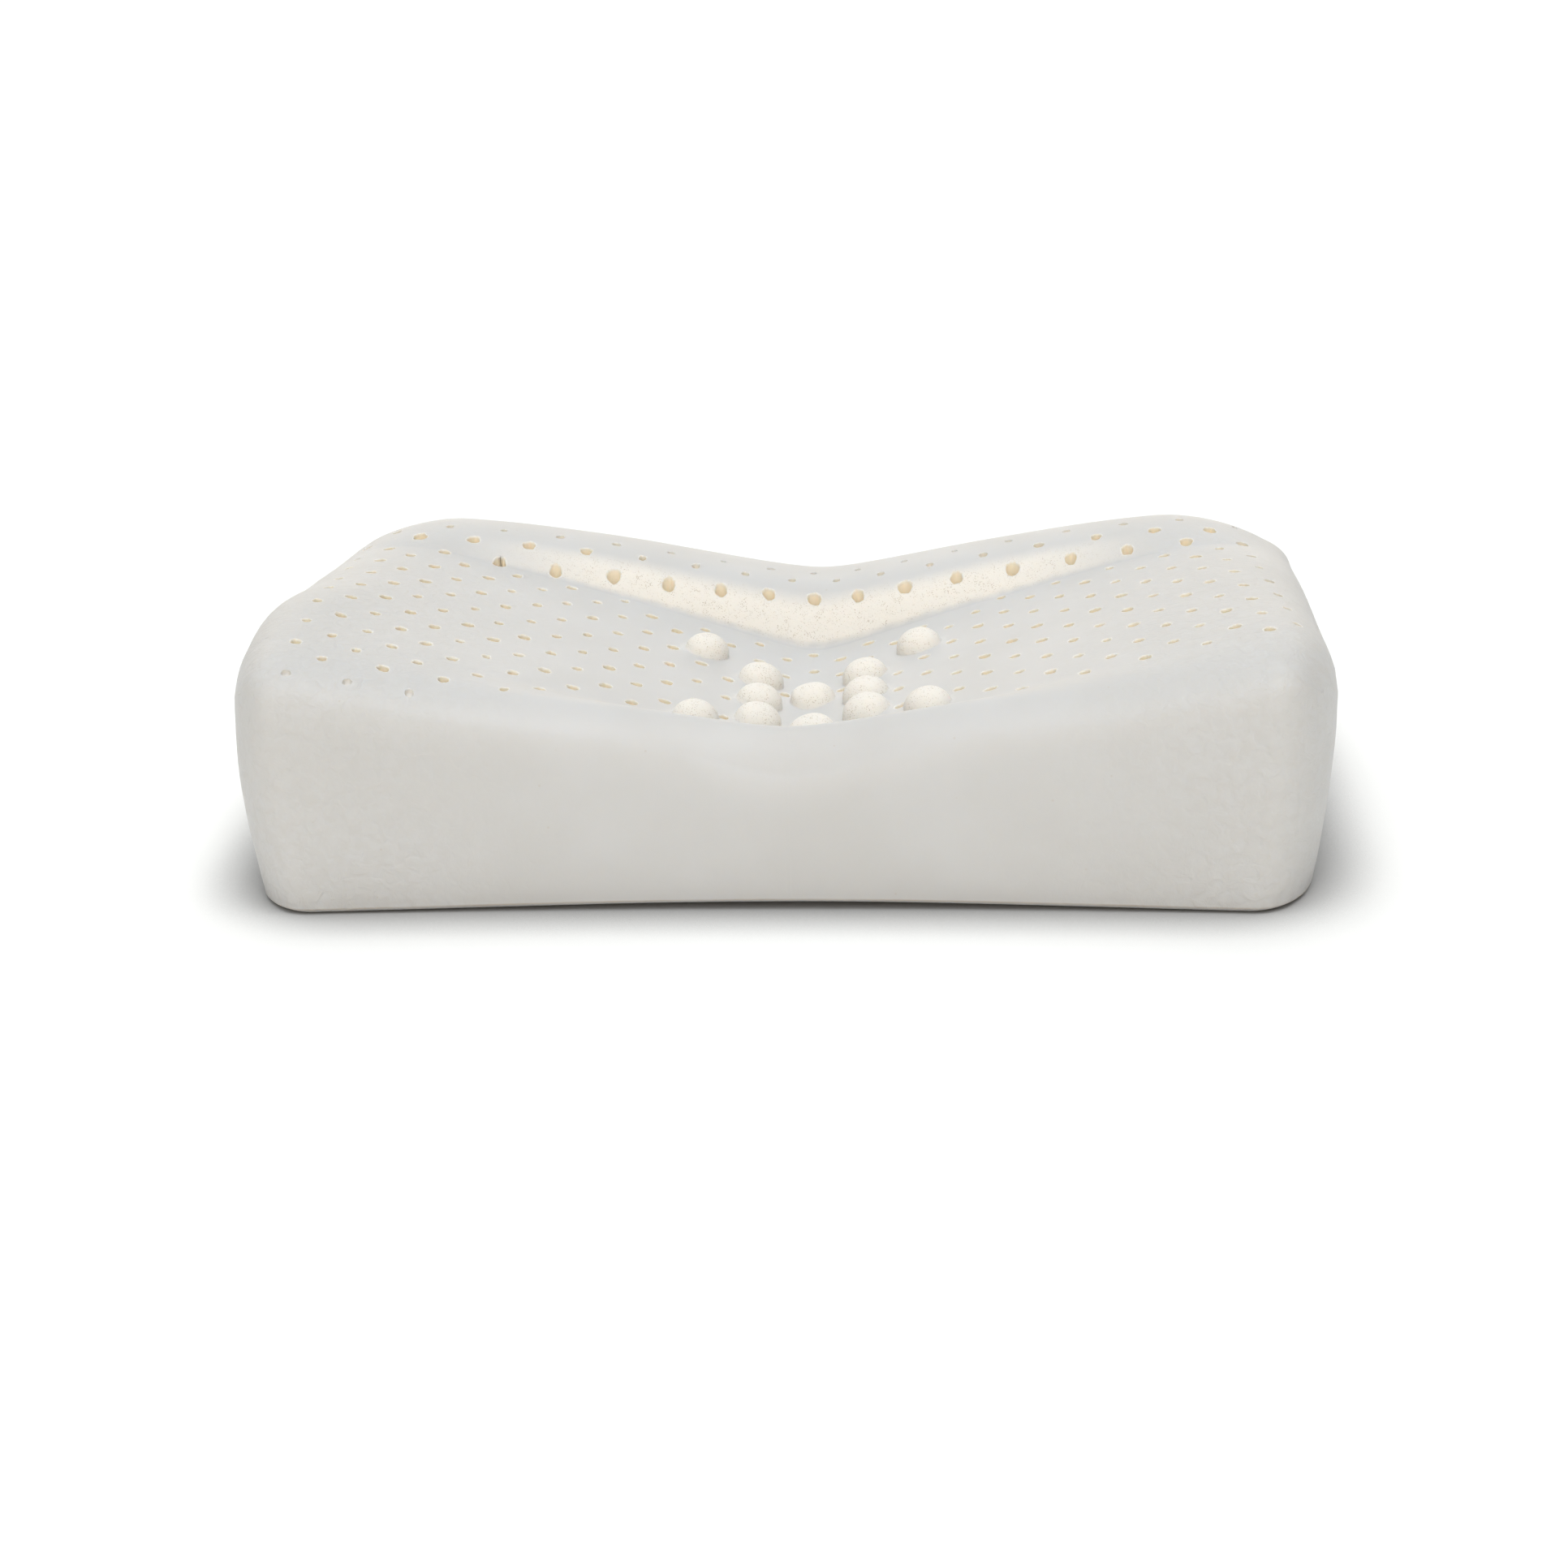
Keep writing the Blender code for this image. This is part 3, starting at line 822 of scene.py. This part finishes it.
@dataclass
class FoamPillow:
    """The whole pillow as one piece of foam."""

    form: PillowForm = field(default_factory=PillowForm)
    lattice: Lattice = field(default_factory=Lattice)
    nubs: NubSet = field(default_factory=NubSet)
    pins: PinField = field(default_factory=PinField)
    swells: tuple[tuple[float, float, float, float, float], ...] = (
        (-186 * MM, -32 * MM, 88 * MM, 28 * MM, 3.0 * MM),
        (-197 * MM, -98 * MM, 84 * MM, 32 * MM, -3.4 * MM),
        (197 * MM, -108 * MM, 80 * MM, 26 * MM, -1.6 * MM),
        (180 * MM, 78 * MM, 80 * MM, 36 * MM, -1.6 * MM),
    )
    ragged: float = 0.018
    ragged_size: float = 4 * MM
    swell: float = 0.35 * MM
    swell_size: float = 45 * MM
    peel_swell: float = 0.10 * MM
    peel_size: float = 7 * MM
    swell_fade: float = 12 * MM
    lean_reach: float = 4 * MM
    porous_least: float = 5.5 * MM
    porous_blend: float = 9 * MM
    porous_foot: float = 0.06
    porous_top: float = 0.53
    porous_top_blend: float = 0.28
    peel_start: float = 60 * MM
    peel_blend: float = 120 * MM
    calm: float = 0.6
    calm_start: float = -10 * MM
    calm_blend: float = 90 * MM
    skin: BVHTree | None = None

    def build(self, finish: bpy.types.Material) -> bpy.types.Object:
        """Make the pillow and tie it to the frame.

        Args:
            finish: Material of the foam.

        Returns:
            The pillow's object.
        """
        mesh = self.top_sheet()
        self.drop_sides(mesh)
        self.press(mesh)
        self.skin = BVHTree.FromBMesh(mesh)
        self.mark_wall(mesh)
        self.let_in(mesh, self.nub_features() + self.pin_features())
        self.close_underside(mesh)
        self.uneven(mesh)
        data = bpy.data.meshes.new("pillow_foam")
        mesh.to_mesh(data)
        mesh.free()
        piece = placed("pillow_foam", data)
        data.materials.append(finish)
        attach(piece, "root")
        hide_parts("foam_pillow")
        return piece

    def top_sheet(self) -> BMesh:
        """Top of the pillow as a fine sheet moulded to its form."""
        xs = self.lattice.length_stations(self.form)
        ys = self.lattice.depth_stations(self.form)
        mesh = bmesh.new()
        bmesh.ops.create_grid(mesh, x_segments=len(xs) - 1, y_segments=len(ys) - 1, size=0.5)
        place_x = mesh.verts.layers.float.new("place_x")
        place_y = mesh.verts.layers.float.new("place_y")
        for zone in Zone:
            mesh.verts.layers.float.new(zone.value)
        for vert in mesh.verts:
            x = xs[round((vert.co.x + 0.5) * (len(xs) - 1))]
            y = ys[round((vert.co.y + 0.5) * (len(ys) - 1))]
            vert[place_x] = x
            vert[place_y] = y
            vert.co = self.form.top_point(x, y)
        return mesh

    def drop_sides(self, mesh: BMesh) -> None:
        """Draw the edge of the top down to the underside, ring by ring."""
        place_x = mesh.verts.layers.float["place_x"]
        place_y = mesh.verts.layers.float["place_y"]
        flash = mesh.verts.layers.float[Zone.FLASH.value]
        edges = [edge for edge in mesh.edges if edge.is_boundary]
        for ring in self.lattice.rings():
            made = bmesh.ops.extrude_edge_only(mesh, edges=edges)["geom"]
            edges = [thing for thing in made if isinstance(thing, BMEdge) and thing.is_boundary]
            for vert in {vert for edge in edges for vert in edge.verts}:
                vert.co = self.form.side_point(vert[place_x], vert[place_y], ring)
                vert[flash] = 1.0 if ring.proud else 0.0

    def press(self, mesh: BMesh) -> None:
        """Press the corners in and swell the ends out a little, as soft foam settles."""
        mesh.normal_update()
        for vert in mesh.verts:
            rise = sum(amount * math.exp(-((vert.co - Vector(middle)).length / reach) ** 2)
                       for *middle, reach, amount in self.swells)
            vert.co += vert.normal * rise

    def close_underside(self, mesh: BMesh) -> None:
        """Close the flat underside."""
        rim = [edge for edge in mesh.edges if edge.is_boundary]
        underside = bmesh.ops.holes_fill(mesh, edges=rim, sides=0)["faces"]
        bmesh.ops.recalc_face_normals(mesh, faces=mesh.faces)
        for face in mesh.faces:
            face.smooth = True
        inner = 1.0 - self.form.base_lift_depth / self.form.half_depth
        bmesh.ops.inset_individual(mesh, faces=underside, thickness=RING_INSET)
        for face in underside:
            face.smooth = False
            for vert in face.verts:
                vert.co = Vector((vert.co.x * inner, vert.co.y * inner, 0.0))

    def mark_wall(self, mesh: BMesh) -> None:
        """Mark the porous wall, and the ends where the skin is a little rough."""
        open_foam = mesh.verts.layers.float[Zone.OPEN_FOAM.value]
        peel = mesh.verts.layers.float[Zone.PEEL.value]
        for vert in mesh.verts:
            x, y = vert.co.xy
            away = abs(x - self.form.valley_x)
            share = self.form.wall_share(x, y)
            share += self.ragged * noise.noise(vert.co / self.ragged_size)
            height = self.form.ridge_at(x) - self.form.bed_at(x, y)
            porous = smooth_step((height - self.porous_least) / self.porous_blend)
            porous *= smooth_step(share / self.porous_foot)
            porous *= smooth_step((self.porous_top - share) / self.porous_top_blend)
            vert[open_foam] = porous if y > 0.0 else 0.0
            calm = 1.0 - self.calm * smooth_step((y - self.calm_start) / self.calm_blend)
            vert[peel] = calm * smooth_step((away - self.peel_start) / self.peel_blend)

    def height(self, x: float, y: float) -> float:
        """Height of the plain skin at a place."""
        return self.skin.ray_cast(Vector((x, y, 1.0)), -UP)[0].z

    def normal(self, x: float, y: float) -> Vector:
        """Direction of the skin at a place, over a nub's width."""
        step = self.lean_reach
        lean_x = (self.height(x + step, y) - self.height(x - step, y)) / (2 * step)
        lean_y = (self.height(x, y + step) - self.height(x, y - step)) / (2 * step)
        return Vector((-lean_x, -lean_y, 1.0)).normalized()

    def nub_features(self) -> list[RoundFeature]:
        """The nubs, each leaning with the bed."""
        rings = self.nubs.rings()
        return [RoundFeature(x, y, rings, self.normal(x, y))
                for x, y in self.pins.nub_places(self.nubs, self.form)]

    def pin_features(self) -> list[RoundFeature]:
        """The pin holes, each a little different."""
        chance = random.Random(self.pins.seed)
        nub_places = self.pins.nub_places(self.nubs, self.form)
        features = []
        for x, y in self.pins.places(self.nubs, self.form):
            x += chance.uniform(-self.pins.stray, self.pins.stray)
            y += chance.uniform(-self.pins.stray, self.pins.stray)
            x, y = self.pins.pushed_clear(x, y, nub_places)
            lobes = tuple((count, chance.uniform(self.pins.least_lobe, strongest),
                           chance.uniform(0.0, math.tau)) for count, strongest in self.pins.lobes)
            on_wall = 0.0 < self.form.wall_share(x, y) < self.pins.wall_top
            size = chance.uniform(*(self.pins.wall_sizes if on_wall else self.pins.bed_sizes))
            rings = self.pins.rings(size, self.pins.openness(x, y, self.form))
            torn = self.pins.torn_left if x < self.form.valley_x else self.pins.torn_right
            torn *= chance.uniform(0.0, 1.0)
            turn = math.pi / 2 + chance.uniform(-1.0, 1.0)
            features.append(RoundFeature(x, y, rings, UP, lobes, torn, turn))
        return features

    def let_in(self, mesh: BMesh, features: list[RoundFeature]) -> None:
        """Let round holes and nubs into the skin.

        The cells under each one become one face, whose edge is drawn to a circle. Then one
        ring after another is inset and moved to its radius and height.

        Args:
            mesh: The pillow's mesh.
            features: Holes and nubs, none of which overlap.
        """
        centres = KDTree(len(mesh.faces))
        mesh.faces.ensure_lookup_table()
        for face in mesh.faces:
            middle = face.calc_center_median()
            level = 0.0 if face.normal.z > 0.05 else 1.0
            centres.insert((middle.x, middle.y, level), face.index)
        centres.balance()
        cells = [[mesh.faces[index] for _, index, _ in
                  centres.find_range((feature.x, feature.y, 0.0), feature.rings[0].radius)]
                 for feature in features]
        patches = [bmesh.ops.dissolve_faces(mesh, faces=faces)["region"][0] for faces in cells]
        fixed = set()
        for feature, patch in zip(features, patches):
            for vert in patch.verts:
                self.to_ring(mesh, vert, feature, feature.rings[0])
                fixed.add(vert)
        self.relax(mesh, fixed)
        deepest = max(len(feature.rings) for feature in features)
        for step in range(1, deepest):
            live = [(feature, patch) for feature, patch in zip(features, patches)
                    if step < len(feature.rings)]
            bmesh.ops.inset_individual(mesh, faces=[patch for _, patch in live],
                                       thickness=RING_INSET, use_even_offset=False)
            for feature, patch in live:
                for vert in patch.verts:
                    self.to_ring(mesh, vert, feature, feature.rings[step])
        bmesh.ops.poke(mesh, faces=patches)

    def to_ring(self, mesh: BMesh, vert: BMVert, feature: RoundFeature, ring: FeatureRing) -> None:
        """Move a point of a patch's edge straight out to a ring and mark its zones."""
        away = Vector((vert.co.x - feature.x, vert.co.y - feature.y))
        angle = math.atan2(away.y, away.x)
        radius = ring.radius * feature.out_of_round(angle)
        x = feature.x + radius * math.cos(angle)
        y = feature.y + radius * math.sin(angle)
        rise = ring.rise + ring.torn * feature.torn_rise(angle)
        vert.co = Vector((x, y, self.height(x, y))) + feature.axis * rise
        layers = mesh.verts.layers.float
        porous = layers[Zone.OPEN_FOAM.value]
        vert[porous] = max(vert[porous], ring.open_foam)
        vert[layers[Zone.HOLE.value]] = ring.hole
        vert[layers[Zone.RIM.value]] = ring.rim

    def relax(self, mesh: BMesh, fixed: set[BMVert]) -> None:
        """Even out the cells round the patches, within the skin."""
        near = set(fixed)
        for _ in range(2):
            near |= {edge.other_vert(vert) for vert in near for edge in vert.link_edges}
        free = [vert for vert in near - fixed if vert.normal.z > 0.3]
        free.sort(key=lambda vert: vert.index)
        for _ in range(4):
            bmesh.ops.smooth_vert(mesh, verts=free, factor=0.5, use_axis_x=True, use_axis_y=True)
        for vert in free:
            vert.co.z = self.height(vert.co.x, vert.co.y)

    def uneven(self, mesh: BMesh) -> None:
        """Give the skin the slight swell and roughness of hand-stripped foam."""
        peel = mesh.verts.layers.float[Zone.PEEL.value]
        mesh.normal_update()
        for vert in mesh.verts:
            fade = smooth_step(vert.co.z / self.swell_fade)
            rise = self.swell * noise.noise(vert.co / self.swell_size)
            rise += self.peel_swell * vert[peel] * noise.noise(vert.co / self.peel_size)
            vert.co += vert.normal * rise * fade


@dataclass(frozen=True)
class PhotoCamera:
    """Camera at the photograph's viewing angle."""

    focal_pixels: float = 3279.0
    pitch: float = 20.0
    yaw: float = -5.24
    roll: float = -2.08
    place: Triple = (0.0851, -0.9844, 0.3667)

    def build(self) -> bpy.types.Object:
        """Make the camera and use it."""
        pitch, yaw, roll = (math.radians(angle) for angle in (self.pitch, self.yaw, self.roll))
        ahead = Vector((math.sin(yaw) * math.cos(pitch), math.cos(yaw) * math.cos(pitch),
                        -math.sin(pitch)))
        level = Vector((math.cos(yaw), -math.sin(yaw), 0.0))
        upward = level.cross(ahead)
        across = math.cos(roll) * level + math.sin(roll) * upward
        upright = -math.sin(roll) * level + math.cos(roll) * upward
        turn = Matrix((across, upright, -ahead)).transposed().to_4x4()
        data = bpy.data.cameras.new("photo_camera")
        data.sensor_fit = "HORIZONTAL"
        data.sensor_width = SENSOR_WIDTH
        data.lens = SENSOR_WIDTH * self.focal_pixels / IMAGE_SIDE
        data.clip_end = 50.0
        camera = placed("photo_camera", data)
        camera.matrix_world = Matrix.Translation(self.place) @ turn
        bpy.context.scene.camera = camera
        return camera


@dataclass(frozen=True)
class SoftBox:
    """A far and large studio light, even all over the floor.

    The spread is the angle that the light fills, in radians.
    """

    name: str
    place: Triple
    spread: float
    power: float
    colour: Triple = (1.0, 1.0, 1.0)

    def build(self) -> bpy.types.Object:
        """Make the light, aimed at the pillow."""
        data = bpy.data.lights.new(self.name, "SUN")
        data.angle = self.spread
        data.energy = self.power
        data.color = self.colour
        light = placed(self.name, data)
        light.location = self.place
        light.rotation_euler = (-Vector(self.place)).to_track_quat("-Z", "Y").to_euler()
        return light


@dataclass(frozen=True)
class Studio:
    """Pale floor with a painted shadow round the pillow's foot, in soft light.

    The surround lights the scene with a tinted gradient, and the camera sees it as plain
    white, as in the cut-out photograph.
    """

    floor_half: float = 9.0
    floor_tint: Colour = (0.97, 0.97, 0.96, 1.0)
    painted_shadow_tint: Colour = (0.42, 0.42, 0.42, 1.0)
    painted_shadow_reach: float = 37 * MM
    painted_shadow_samples: int = 8
    surround: float = 1.2
    backdrop: Colour = (1.0, 1.0, 1.0, 1.0)
    low_tint: Colour = (1.33, 1.175, 0.965, 1.0)
    high_tint: Colour = (0.925, 0.97, 1.005, 1.0)
    sun: SoftBox = SoftBox("top_light", (0.50, -0.75, 2.3), 0.8, 1.1, (1.0, 0.99, 0.98))

    def build(self) -> None:
        """Make the floor, the lights and the surround, and set how colours are shown."""
        mesh = bmesh.new()
        bmesh.ops.create_grid(mesh, x_segments=1, y_segments=1, size=self.floor_half)
        data = bpy.data.meshes.new("studio_floor")
        mesh.to_mesh(data)
        mesh.free()
        floor = placed("studio_floor", data)
        paint = bpy.data.materials.new("floor_paint")
        paint.use_nodes = True
        bench = NodeBench(paint.node_tree)
        shader = paint.node_tree.nodes["Principled BSDF"]
        # Painted shadow: the floor's colour turns to a grey tint where ambient occlusion finds the
        # pillow close by, standing in for its contact shadow.
        shade = bench.add("ShaderNodeAmbientOcclusion", {"samples": self.painted_shadow_samples},
                          Distance=self.painted_shadow_reach)
        openness = bench.ramp(shade.outputs["AO"], low=0.45, high=1.0)
        bench.feed(shader.inputs["Base Color"],
                   bench.blend(openness, self.painted_shadow_tint, self.floor_tint))
        shader.inputs["Roughness"].default_value = 0.9
        shader.inputs["Specular IOR Level"].default_value = 0.1
        data.materials.append(paint)
        self.sun.build()
        self.hang_surround()
        bpy.context.scene.view_settings.view_transform = "Standard"

    def hang_surround(self) -> None:
        """Surround the scene with soft light: cool from above, warm from low down and dark at
        the far left and right.
        """
        world = bpy.data.worlds.new("surround")
        world.use_nodes = True
        bench = NodeBench(world.node_tree)
        way = bench.add("ShaderNodeTexCoord").outputs["Generated"]
        parts = bench.add("ShaderNodeSeparateXYZ", Vector=way).outputs
        tint = bench.blend(bench.ramp(parts["Z"], low=0.15, high=0.75),
                           self.low_tint, self.high_tint)
        left = bench.ramp(parts["X"], low=-0.95, high=-0.35)
        right = bench.ramp(parts["X"], low=0.18, high=0.82, start=1.0, end=0.0)
        level = bench.sum_of(bench.sum_of(left, right), self.surround)
        seen = bench.add("ShaderNodeLightPath").outputs["Is Camera Ray"]
        background = world.node_tree.nodes["Background"]
        bench.feed(background.inputs["Color"], bench.blend(seen, tint, self.backdrop))
        bench.feed(background.inputs["Strength"],
                   bench.sum_of(seen, bench.sum_of(level, -1.0, 1.0), level))
        bpy.context.scene.world = world


def main() -> None:
    """Build the scene piece by piece."""
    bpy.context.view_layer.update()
    PhotoCamera().build()
    finish = FoamFinish().build(PillowForm(), FoamGrain().build())
    FoamPillow().build(finish)
    Studio().build()
    log.info("sizes written")


if __name__ == "__main__":
    logging.basicConfig(level=logging.INFO, format="%(name)s: %(message)s")
    main()
